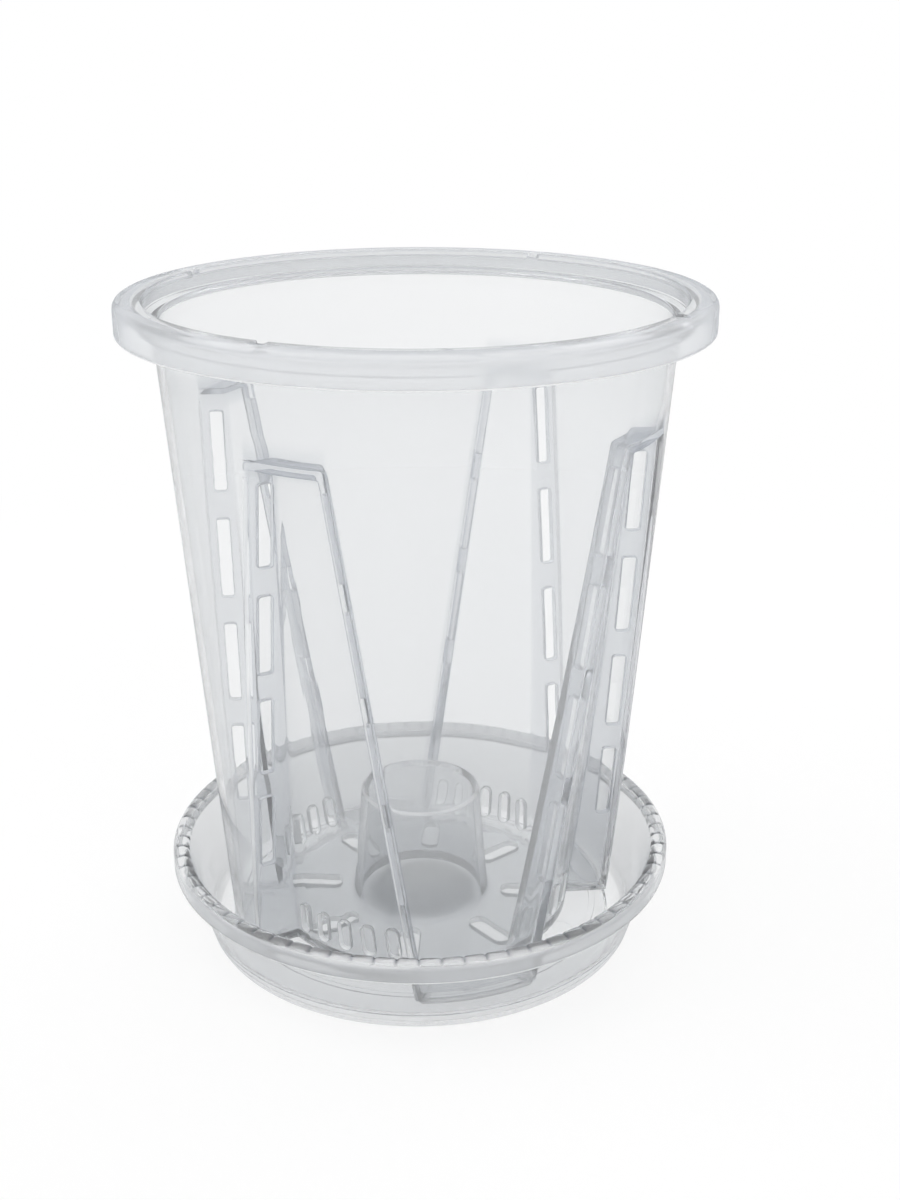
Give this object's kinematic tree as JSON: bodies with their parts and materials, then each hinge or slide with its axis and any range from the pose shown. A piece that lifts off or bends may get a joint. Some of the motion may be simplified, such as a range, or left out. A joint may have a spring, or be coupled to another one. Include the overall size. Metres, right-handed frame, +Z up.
{
  "type": "slotted clear plant pot with saucer",
  "caption": "Tapered clear plastic plant pot with a thick rim, tall recessed slotted air channels and a hollow centre cone, standing loose in a scalloped saucer.",
  "frame": {"origin": "middle of the saucer's flat underside", "axes": "+Z up along the pot's axis; +X and +Y each point through the middle of an air channel"},
  "size_m": [0.14, 0.14, 0.1653],
  "materials": {
    "pot_plastic": "clear, faintly hazy, cool grey moulded plastic",
    "saucer_plastic": "clear, slightly smokier moulded plastic"
  },
  "bodies": {
    "saucer": {"saucer": "saucer_plastic"},
    "pot": {"pot": "pot_plastic"}
  },
  "joints": [
    {"name": "pot_lift", "type": "slide", "parent": "saucer", "child": "pot", "axis": [0, 0, 1], "range_m": [0, 0.05]}
  ]
}
